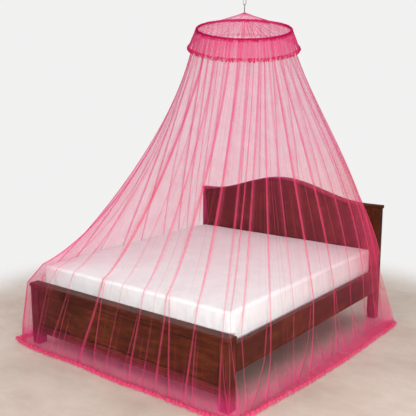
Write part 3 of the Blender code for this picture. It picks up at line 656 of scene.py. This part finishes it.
def parted_fold(number, parts, stray, half, cover):
    """Columns of a fold that runs with a main fold to the bed's edge or the drop, then parts from it."""
    start = EDGE - 3 if parts == "edge" else FALL - 2
    share = rising(level, start, TOUCH + 2.0 - start)
    centre = float(number) + 0.075 * np.sign(stray) + stray * share ** 1.25
    step = np.minimum(half / net_surface.read(net_surface.metres, centre), 0.012 + 0.05 * share)
    shown = np.clip(share * 6.0, 0.0, 1.0)
    rise = 0.6 * FOLD_RISE * shown
    return [(centre - 1.4 * step, none, none), (centre - 0.6 * step, rise, cover * shown),
            (centre, rise, 0.75 * cover * shown), (centre + 0.6 * step, rise, cover * shown),
            (centre + 1.4 * step, none, none)]


def pleat(centre, cover, half, rise, envelope):
    """Columns of one thin pleat whose middle runs at the given running line numbers."""
    step = np.minimum(half / net_surface.read(net_surface.metres, centre), 0.04)
    middle = (centre, rise * envelope, cover * envelope)
    return [(centre - step, none, none), middle, (centre + step, none, none)]


def fold_group(number, line):
    """A main fold with the folds that part from it on either side, in order round the net."""
    strength = 0.55 + 0.55 * (line.width - 0.026) / 0.030
    group = main_fold(number, strength, 1 if number % 3 else -1)
    for row in PARTED_FOLDS:
        if row[0] == number:
            group = group + parted_fold(*row) if row[2] > 0.0 else parted_fold(*row) + group
    return group


def pleats_in_gap(number, low, high, random):
    """Thin pleats in the free cloth between two main folds, uneven in spacing, strength and length."""
    metres = net_surface.metres[number * CURVES_PER_GAP + CURVES_PER_GAP // 2]
    count = int(np.clip(round(float(metres[TOUCH]) / PLEAT_SPACING), 3, 10))
    even = np.arange(count) + 0.5
    tops, feet = (np.sort((even + random.uniform(-0.45, 0.45, count)) / count) for end in range(2))
    tops = 0.5 + 0.5 * np.sign(tops - 0.5) * np.abs(2.0 * tops - 1.0) ** (1.0 / PLEAT_CROWD)
    columns = []
    for top, foot in zip(tops, feet):
        start, end = random.choice(PLEAT_STARTS), random.choice(PLEAT_ENDS)
        end = LEVELS if start > EDGE else end
        envelope = rising(level + 6.0 * (start == 0), start, 6.0) * rising(-level, -end, 8.0)
        cover = random.choice(PLEAT_COVERS) * random.uniform(0.8, 1.2)
        half = random.choice(PLEAT_HALVES) * random.uniform(0.85, 1.15)
        cover *= min(1.0, 0.0075 / half)
        centre = low + (high - low) * (0.06 + 0.88 * (top + (foot - top) * level / LAST))
        columns += pleat(centre, cover, half, half * random.uniform(0.15, 0.30), envelope * PLEAT_SHOWN)
    return columns


def on_headboard(x, y, z):
    """How far below the headboard's top the net lies flat against it, in metres; under 0 elsewhere."""
    share = np.minimum(np.abs(x - HEAD_CREST_X) / HEAD_ARCH_HALF, 1.0)
    top = HEAD_SHOULDER + (HEAD_PEAK - HEAD_SHOULDER) * 0.5 * (1.0 + np.cos(np.pi * share))
    near = rising(y, 1.90, 0.04) * rising(x, -0.84, 0.03) * rising(-x, -0.80, 0.04)
    return np.clip(top - z, -0.10, 0.10) * near - 0.10 * (1.0 - near)


def make_net():
    """The whole hanging net as one continuous sheet."""
    random = np.random.default_rng(11)
    count = len(net_surface.lines)
    groups = [fold_group(number, line) for number, line in enumerate(net_surface.lines)]
    columns = []
    for number, group in enumerate(groups):
        low = group[-1][0]
        high = groups[(number + 1) % count][0][0] + (count if number + 1 == count else 0.0)
        columns += group + pleats_in_gap(number, low, np.maximum(high, low), random)
    place, rise, extra = (np.array(part) for part in zip(*columns))
    place = np.maximum.accumulate(place, axis=0)
    place = np.minimum(place, place[0] + count - 1e-4)
    base = net_surface.read(net_surface.points, place)
    points = base + net_surface.read(net_surface.normal, place) * rise[:, :, None]
    points[:, :, 2] = np.maximum(points[:, :, 2], FLOOR_LAY)
    x, y, z = (points[:, :, axis] for axis in range(3))
    given = [line.dense for line in net_surface.lines]
    dense = np.interp(place % count, np.arange(count + 1), given + given[:1])
    full = rising(dense, 1.0, FAR_DENSE - 1.0)
    bunched = rising(dense, FAR_DENSE, BUNCHED - FAR_DENSE) * rising(level, EDGE - 30.0, 16.0)
    layer = SPREAD_COVER * (1.0 - full) + FULL_COVER * full
    layer = layer * (1.0 - bunched) + BUNCHED_COVER * bunched
    layer = np.maximum(layer, np.interp(z, LOW_HEIGHT, LOW_COVER) * (1.0 + 0.15 * full))
    # painted shade tint: the yarn is made redder from 0.05 m up to 1.5 m above the floor, fully from 0.20 m
    # to 1.15 m, less where the net hangs full on the left
    painted_shade_tint = np.interp(z, (0.05, 0.20, 1.15, 1.50), (0.0, 1.0, 1.0, 0.0))
    values = {"cover": 1.0 - (1.0 - layer) * (1.0 - extra), "on_headboard": on_headboard(x, y, z),
              "painted_shade_tint": painted_shade_tint * (1.0 - full * rising(-x, -0.2, 0.2))}
    across = np.linalg.norm(np.diff(points[:, TOUCH], axis=0), axis=1)
    down = np.linalg.norm(np.diff(points[0], axis=0), axis=1)
    across, down = (np.concatenate([[0.0], np.cumsum(steps)]) for steps in (across, down))
    return wear(make_piece("net", points, across, down, values), net_pink), points


# ---------------------------------------------------------------- gathers and ruffles


def gather_tree():
    """A node tree that ruffles a strip: waves along it that grow across it, with uneven pitch and height."""
    tree = bpy.data.node_groups.new("gathers", "GeometryNodeTree")
    tree.interface.new_socket("Geometry", in_out="INPUT", socket_type="NodeSocketGeometry")
    for name, value in (("Pitch", 0.02), ("Height", 0.005), ("Crimp", 0.3), ("Unevenness", 0.5),
                        ("Scallop", 0.0), ("Puff", 0.0), ("Seed", 1.0)):
        size = tree.interface.new_socket(name, in_out="INPUT", socket_type="NodeSocketFloat")
        size.default_value = value
    tree.interface.new_socket("Cloth", in_out="INPUT", socket_type="NodeSocketMaterial")
    tree.interface.new_socket("Geometry", in_out="OUTPUT", socket_type="NodeSocketGeometry")
    build = Nodes(tree)
    maths, times = build.maths, build.times
    given = build.add("NodeGroupInput").outputs

    def named(name, kind):
        node = build.add("GeometryNodeInputNamedAttribute", {"Name": name}, data_type=kind)
        return node.outputs["Attribute"]

    def scaled(vector, amount):
        return build.out("ShaderNodeVectorMath", {0: vector, "Scale": amount}, operation="SCALE")

    along, across = named("along", "FLOAT"), named("across", "FLOAT")
    stand, way = named("stand", "FLOAT_VECTOR"), named("way", "FLOAT_VECTOR")
    turns = maths("DIVIDE", along, given["Pitch"])
    place = build.out("ShaderNodeCombineXYZ", {0: times(turns, 0.45), 1: times(given["Seed"], 17.3)})
    drift = {"Vector": place, "Scale": 1.0, "Detail": 1.0}
    drift = build.out("ShaderNodeTexNoise", drift, noise_dimensions="2D")
    wander = times(maths("SUBTRACT", drift, 0.5), given["Unevenness"])
    phase = times(maths("ADD", turns, times(wander, 3.0)), 2.0 * math.pi)
    crimp = times(maths("SINE", maths("MULTIPLY_ADD", phase, 3.63, 1.1)), given["Crimp"])
    size = times(given["Height"], maths("POWER", across, 0.75))
    size = times(size, maths("MULTIPLY_ADD", wander, 1.6, 1.0))
    lift = times(maths("ADD", maths("SINE", phase), crimp), size)
    lobe = maths("ABSOLUTE", maths("SINE", times(phase, 0.5)))
    spread = times(times(maths("SUBTRACT", lobe, 0.6), across), given["Scallop"])
    hump = maths("SINE", times(across, 0.92 * math.pi))
    puff = times(times(hump, maths("MULTIPLY_ADD", lobe, 0.75, 0.25)), given["Puff"])
    puff = times(puff, maths("MULTIPLY_ADD", wander, 0.9, 1.0))
    shift = {0: scaled(stand, maths("ADD", lift, puff)), 1: scaled(way, spread)}
    shift = build.out("ShaderNodeVectorMath", shift)
    moved = build.out("GeometryNodeSetPosition", {"Geometry": given["Geometry"], "Offset": shift})
    real = build.out("GeometryNodeRealizeInstances", {0: moved})
    dressed = build.out("GeometryNodeSetMaterial", {"Geometry": real, "Material": given["Cloth"]})
    build.add("NodeGroupOutput", {"Geometry": dressed})
    return tree


gathers = gather_tree()


def gather(thing, cloth, **sizes):
    """Runs the gathers tree on a piece and keeps the plain mesh that it gives."""
    change = thing.modifiers.new("gathers", "NODES")
    change.node_group = gathers
    sizes["Cloth"] = cloth
    for item in gathers.interface.items_tree:
        if item.in_out == "INPUT" and item.name in sizes:
            change[item.identifier] = sizes[item.name]
    return keep_shape(thing, change)


def gathered_strip(name, rows, stand, way, along, across, cover, closed, cloth, **sizes):
    """A strip of cloth given as rows from its seam to its free edge, ruffled by the gathers tree."""
    rows = np.asarray(rows, float)
    levels, columns = rows.shape[:2]
    values = {"stand": np.repeat(stand, levels, axis=0), "way": np.repeat(way, levels, axis=0),
              "along": np.repeat(along, levels), "across": np.tile(across, columns), "cover": cover}
    down = np.linspace(0.0, np.linalg.norm(rows[-1, 0] - rows[0, 0]), levels)
    return gather(make_piece(name, rows.transpose(1, 0, 2), along, down, values, closed), cloth, **sizes)


def round_hoop(columns, radius=HOOP_RADIUS):
    """Outward ways round the hoop, the hoop's axis, and the metres run at a radius, in room coordinates."""
    angle = 2.0 * np.pi * np.arange(columns) / columns
    turn = np.array(hoop_place.to_3x3())
    outward = np.stack([np.cos(angle), np.sin(angle), np.zeros(columns)], axis=1) @ turn.T
    return outward, turn[:, 2], radius * 2.0 * np.pi * np.arange(columns) / columns


def hoop_rows(columns, profile):
    """Rows round the hoop's axis from (radius, height) pairs."""
    outward, axis = round_hoop(columns)[:2]
    return np.array([np.array(HOOP_CENTRE) + outward * radius + axis * height for radius, height in profile])


def hoop_strip(name, profile, across, cover, cloth, radius=HOOP_RADIUS, **sizes):
    """A gathered strip once round the hoop, from (radius, height) pairs and a row of cover a column."""
    columns = len(cover)
    outward, axis, along = round_hoop(columns, radius)
    down = np.repeat(-axis[None], columns, 0)
    return gathered_strip(name, hoop_rows(columns, profile), outward, down, along, across, cover, True, cloth,
                          **sizes)


def thin_at_the_head(columns):
    """1 round the side towards the bed's open corner, and less where the gathers are spread thin behind."""
    outward = round_hoop(columns)[0]
    return np.interp(outward[:, 0] * 0.62 - outward[:, 1] * 0.785, (-0.35, 0.15), (0.42, 1.0))[:, None]


def patches(random, count, spare, soft):
    """Random numbers round 0, smoothed over so many places and drawn with some to spare, as a column."""
    return np.convolve(random.uniform(-1.0, 1.0, count + spare), np.hanning(soft), "valid")[:count, None]


def make_valance():
    """The gathered fall outside the hoop, dense and streaky."""
    columns = 1300
    share = np.linspace(0.0, 1.0, 9)
    start = HOOP_RADIUS + SLEEVE * 0.6
    profile = [(start + (VALANCE_RADIUS - start) * s ** 0.9, -VALANCE_DROP * s - 0.002) for s in share]
    thin = thin_at_the_head(columns)
    streak = patches(np.random.default_rng(5), columns, 10, 7) * 0.11 * thin ** 2
    fall = np.interp(share, (0.0, 0.25, 1.0), (0.70, 0.62, 0.54))
    cover = np.clip(fall + streak * np.interp(share, (0, 0.4, 1), (0.5, 1.0, 1.0)), 0.15, 0.93) * thin
    return hoop_strip("valance_cloth", profile, share ** 0.5, cover, valance_pink, Pitch=0.0145,
                      Height=0.0030, Crimp=0.5, Unevenness=0.7, Seed=2.0)


def make_valance_frill():
    """The double beaded ruffle round the valance's lower edge."""
    columns = 2600
    random = np.random.default_rng(8)
    share = np.linspace(0.0, 1.0, 7)
    profile = [(VALANCE_RADIUS - 0.001 + 0.003 * s, -VALANCE_DROP + 0.014 - VALANCE_FRILL * s) for s in share]
    upper, lower = (patches(random, columns, 16, 13) for row in range(2))
    patch = upper * (1.0 - share) + lower * share
    cover = np.clip(0.70 + 0.34 * patch, 0.30, 1.0) * thin_at_the_head(columns)
    return hoop_strip("valance_ruffle", profile, share, cover, trim_pink, VALANCE_RADIUS, Pitch=0.0230,
                      Height=0.0016, Crimp=1.0, Unevenness=0.9, Scallop=0.014, Puff=0.012, Seed=4.0)


def make_heading():
    """The crinkled heading that stands out under the hoop's binding, above the valance."""
    share = np.linspace(0.0, 1.0, 5)
    profile = [(HOOP_RADIUS + SLEEVE * 0.72 + 0.006 * s, -SLEEVE * 0.55 - 0.013 * s) for s in share]
    patch = patches(np.random.default_rng(14), 1900, 30, 11) * 0.40
    cover = np.clip(0.60 + patch + np.zeros(len(share)), 0.10, 1.0)
    return hoop_strip("binding_heading", profile, share, cover, trim_pink, Pitch=0.0165, Height=0.0016,
                      Crimp=0.8, Unevenness=1.0, Scallop=0.010, Puff=0.005, Seed=12.0)


def make_binding():
    """The hoop's bound sleeve: a gathered tube of deep pink cloth round the wire."""
    columns, around = 900, 14
    turn = 2.0 * np.pi * np.arange(around) / around
    tube = [(HOOP_RADIUS + SLEEVE * math.cos(a), SLEEVE * math.sin(a)) for a in turn]
    points = hoop_rows(columns, tube).transpose(1, 0, 2)
    away = points - points.mean(axis=1, keepdims=True)
    away = away / np.linalg.norm(away, axis=2)[:, :, None]
    faces = []
    for j in range(columns):
        this, other = j * around, (j + 1) % columns * around
        for k in range(around):
            m = (k + 1) % around
            faces.append((this + k, other + k, other + m, this + m))
    along, even = round_hoop(columns)[2], np.ones(columns * around)
    values = {"stand": away, "way": away, "along": np.repeat(along, around), "across": even,
              "cover": 0.97 * even}
    thing = make_piece("hoop_binding", points, along, turn * SLEEVE, values, faces=faces)
    return gather(thing, trim_pink, Pitch=0.0110, Height=0.0015, Crimp=0.6, Unevenness=0.8, Seed=6.0)


def make_crown():
    """The pleated cone from the hoop up to the knob."""
    pleats = 50
    pleat_wave = (0.0, 0.35, 1.0, 0.35, 0.0, 0.0)
    columns = pleats * len(pleat_wave)
    share = np.linspace(0.0, 1.0, 14)
    start = HOOP_RADIUS - SLEEVE * 0.7
    profile = [(start + (PEAK_OPENING - start) * s, CROWN_RISE * (0.86 * s + 0.14 * s ** 3)) for s in share]
    outward, axis, along = round_hoop(columns)
    strength = np.random.default_rng(21).uniform(0.2, 1.2, pleats)
    wave = (np.tile(pleat_wave, pleats) * np.repeat(strength, len(pleat_wave)))[:, None]
    rise = np.interp(share, (0.0, 0.1, 0.6, 1.0), (0.0, 0.004, 0.003, 0.0))
    lift = outward * 0.3 + axis
    points = hoop_rows(columns, profile).transpose(1, 0, 2) + lift[:, None, :] * (wave * rise)[:, :, None]
    layer = np.interp(share, (0.0, 0.5, 0.85, 1.0), (0.15, 0.14, 0.32, 0.85))
    cover = 1.0 - (1.0 - layer) * (1.0 - 0.85 * wave * np.interp(share, (0, 0.2, 1), (0.5, 1, 1)))
    return wear(make_piece("crown_cloth", points, along, share * CROWN_SLOPE, {"cover": cover}), net_pink)


def unit(ways):
    return ways / (np.linalg.norm(ways, axis=1)[:, None] + 1e-9)


def hem_path(points):
    """The net's floor hem from one head post round to the other, evenly stepped, with its outward ways."""
    spacing, reach = 0.0032, 20
    edge = points[:, -1]
    tucked = np.where(np.abs(edge[:, 1] - TUCK_Y) < 0.004)[0]
    edge = edge[np.arange(tucked.max() + 1, tucked.min() + len(edge)) % len(edge)]
    run = np.concatenate([[0.0], np.cumsum(np.linalg.norm(np.diff(edge, axis=0), axis=1))])
    along = np.arange(0.0, run[-1], spacing)
    path = np.stack([np.interp(along, run, edge[:, k]) for k in range(3)], axis=1)
    padded = np.concatenate([np.repeat(path[:1], reach, 0), path, np.repeat(path[-1:], reach, 0)])
    soft = np.ones(2 * reach + 1) / (2 * reach + 1.0)
    smooth = np.stack([np.convolve(padded[:, k], soft, "valid") for k in range(3)], axis=1)
    step = np.gradient(smooth, axis=0)
    level_way = unit(np.stack([step[:, 1], -step[:, 0], np.zeros(len(step))], axis=1))
    upright = unit(np.cross(step, TO_FOOT))
    climbing = rising(smooth[:, 2:], 0.01, 0.03)
    way = level_way * (1.0 - climbing) + upright * climbing
    way /= np.linalg.norm(way, axis=1)[:, None]
    return path, along, way, UP * (1.0 - climbing) + TO_FOOT * climbing


def make_hem_frill(points):
    """The ruffle sewn along the hem: it lies on the floor in small scalloped waves."""
    path, along, way, stand = hem_path(points)
    share = np.linspace(0.0, 1.0, 6)
    wide = HEM_FRILL * (0.92 - 0.45 * rising(path[:, 2:], 0.01, 0.05))
    rows = [path + way * (0.0005 + wide * s) + stand * (0.0030 + 0.0030 * math.sin(math.pi * (0.1 + 0.8 * s)))
            for s in share]
    patch = patches(np.random.default_rng(3), len(path), 40, 5) * 0.22
    cover = np.clip(0.78 + patch + np.linspace(0.0, 0.12, len(share)), 0.4, 1.0)
    return gathered_strip("hem_ruffle", rows, stand, way, along, share, cover, False, hem_pink, Pitch=0.046,
                          Height=0.0026, Crimp=1.0, Unevenness=0.8, Scallop=0.017, Puff=0.022, Seed=9.0)


# ---------------------------------------------------------------- the mattress


def read_points(mesh, field):
    values = np.zeros(len(mesh.vertices) * 3)
    mesh.vertices.foreach_get(field, values)
    return values.reshape(-1, 3)


def make_mattress():
    """The mattress in its fitted sheet: a soft closed block, a little crowned, creased at its corners."""
    size = Vector((MATTRESS_WIDTH, MATTRESS_HEAD - MATTRESS_FOOT, MATTRESS_TOP - MATTRESS_BOTTOM))
    shape = bmesh.new()
    bmesh.ops.create_cube(shape, size=1.0)
    bmesh.ops.scale(shape, vec=size, verts=shape.verts)
    upright = [e for e in shape.edges if abs(e.verts[0].co.z - e.verts[1].co.z) > 0.1]
    bmesh.ops.bevel(shape, geom=upright, offset=0.030, segments=5, profile=0.5, affect="EDGES")
    rims = [e for e in shape.edges if abs(e.verts[0].co.z - e.verts[1].co.z) < 0.001
            and len({round(f.normal.z, 2) for f in e.link_faces}) > 1]
    bmesh.ops.bevel(shape, geom=rims, offset=0.015, segments=4, profile=0.5, affect="EDGES")
    bmesh.ops.triangulate(shape, faces=shape.faces)
    block = bpy.data.meshes.new("mattress_sheet")
    shape.to_mesh(block)
    shape.free()
    thing = put_in("mattress_sheet", block)
    remesh = thing.modifiers.new("even_faces", "REMESH")
    remesh.mode = "VOXEL"
    remesh.voxel_size = 0.0125
    even = keep_shape(thing, remesh).data
    place, normal = read_points(even, "co"), read_points(even, "normal")
    x, y, z = place.T
    half, length = MATTRESS_WIDTH / 2.0, size.y / 2.0
    side = np.clip(1.0 - np.abs(normal[:, 2]) * 1.3, 0.0, 1.0)
    top = np.clip(normal[:, 2], 0.0, 1.0)
    corner = np.exp(-((np.abs(x) - half) ** 2 + (np.abs(y) - length) ** 2) / 0.16 ** 2)
    tall = rising(z, -size.z / 2.0, size.z)
    ripple = np.sin(x * 61.0 + 1.7 * np.sin(y * 9.0) + z * 14.0)
    ripple += 0.7 * np.sin(y * 53.0 + 2.0 * np.sin(x * 7.0) - z * 11.0)
    ripple += 0.5 * np.sin((x - y) * 97.0 + 3.0 * z)
    sheet = 0.0011 * ripple * (0.30 + 1.5 * corner) * (1.15 - 0.6 * tall) * side
    swell = np.sin(x * 13.0 + 2.0 * np.sin(y * 5.0)) + np.sin(y * 11.0 - 1.5 * np.sin(x * 6.0))
    sheet += top * 0.0006 * swell
    crown = 0.004 * np.clip(1.0 - (x / half) ** 4, 0.0, 1.0) * np.clip(1.0 - (y / length) ** 4, 0.0, 1.0)
    tuck = -0.006 * side * np.exp(-(tall / 0.16) ** 2)
    place = place + normal * (sheet + tuck)[:, None]
    place[:, 2] += top * (crown - 0.0035)
    middle = np.array((0.0, (MATTRESS_FOOT + MATTRESS_HEAD) / 2.0, (MATTRESS_TOP + MATTRESS_BOTTOM) / 2.0))
    even.vertices.foreach_set("co", in_frame(place + middle).ravel())
    even.update()
    return wear(thing, cotton)


# ---------------------------------------------------------------- putting the pieces together

net, net_points = make_net()
hand_over(net, "pink_net", "net_wall")
crown = hand_over(make_crown(), "pink_net", "crown_net")
valance = hand_over(make_valance(), "pink_net", "valance")
valance_ruffle = hand_over(make_valance_frill(), "deep_pink_trim", "valance_frill")
binding = hand_over(make_binding(), "deep_pink_trim", "hoop_sleeve")
heading = hand_over(make_heading(), "deep_pink_trim")
hem_ruffle = hand_over(make_hem_frill(net_points), "deep_pink_trim", "hem_frill")
mattress = hand_over(make_mattress(), "white_cotton", "mattress")

for material, nodes in (
        (wood_upright, "foot_post_left foot_post_right head_post_left head_post_right"),
        (wood_panel, "footboard_panel"), (wood_rail, "footboard_rail"),
        (wood_across, "footboard_cap headboard_panel headboard_cap headboard_moulding"),
        (wood_along, "side_rail_left side_rail_right bed_deck"),
        (steel, "hoop_ring hanger_shank hanger_eye ceiling_link")):
    for node in nodes.split():
        wear(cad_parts[node], material)

# ---------------------------------------------------------------- floor, light and camera

floor_shape = bmesh.new()
bmesh.ops.create_circle(floor_shape, cap_ends=True, radius=3.1, segments=96)
bmesh.ops.translate(floor_shape, vec=room_origin + Vector((0.0, 1.05, -0.0008)), verts=floor_shape.verts)
floor_mesh = bpy.data.meshes.new("floor")
floor_shape.to_mesh(floor_mesh)
floor_shape.free()
floor = wear(put_in("floor", floor_mesh), pale_floor())


def soft_light(name, place, aim, size, energy, colour):
    lamp = bpy.data.lights.new(name, "AREA")
    lamp.shape = "DISK"
    lamp.size = size
    lamp.energy = energy
    lamp.color = colour
    thing = put_in(name, lamp)
    thing.location = room_origin + Vector(place)
    thing.rotation_euler = (Vector(aim) - Vector(place)).to_track_quat("-Z", "Y").to_euler()


def soft_studio(seen, overhead, level):
    """A world that shows one pale grey, and lights from above more than from the sides."""
    studio = bpy.data.worlds.new("studio")
    studio.use_nodes = True
    build = Nodes(studio.node_tree)
    backdrop = studio.node_tree.nodes["Background"]
    build.feed(backdrop, {"Color": (*seen, 1.0)})
    way = build.add("ShaderNodeTexCoord").outputs["Generated"]
    height = build.add("ShaderNodeSeparateXYZ", {0: way}).outputs[2]
    bands = [(at, tuple(light * c for c in seen))
             for at, light in ((0.50, level * 0.15), (0.66, level), (0.95, overhead))]
    lit = build.out("ShaderNodeBackground", {"Color": build.ramp(height, *bands)})
    ray = build.add("ShaderNodeLightPath").outputs["Is Camera Ray"]
    either = build.shader_mix(ray, lit, backdrop.outputs[0])
    build.feed(studio.node_tree.nodes["World Output"], {"Surface": either})
    bpy.context.scene.world = studio


soft_light("key", (2.9, -3.4, 5.6), (0.0, 0.9, 0.6), 3.4, 60.0, (1.0, 0.985, 0.97))
soft_light("front", (5.3, -4.3, 1.25), (0.0, 0.9, 1.2), 1.8, 400.0, (1.0, 0.985, 0.975))
soft_studio((0.885, 0.880, 0.878), 1.18, 1.55)

camera = put_in("camera", bpy.data.cameras.new("camera"))
camera.data.sensor_width = 36.0
camera.data.lens = 55.39
camera.location = room_origin + Vector((2.903625, -2.763, 1.819125))
camera.rotation_euler = (math.radians(79.87), 0.0, math.radians(37.93))
bpy.context.scene.camera = camera
bpy.context.scene.view_settings.view_transform = "Standard"
bpy.context.scene.cycles.transparent_max_bounces = 48
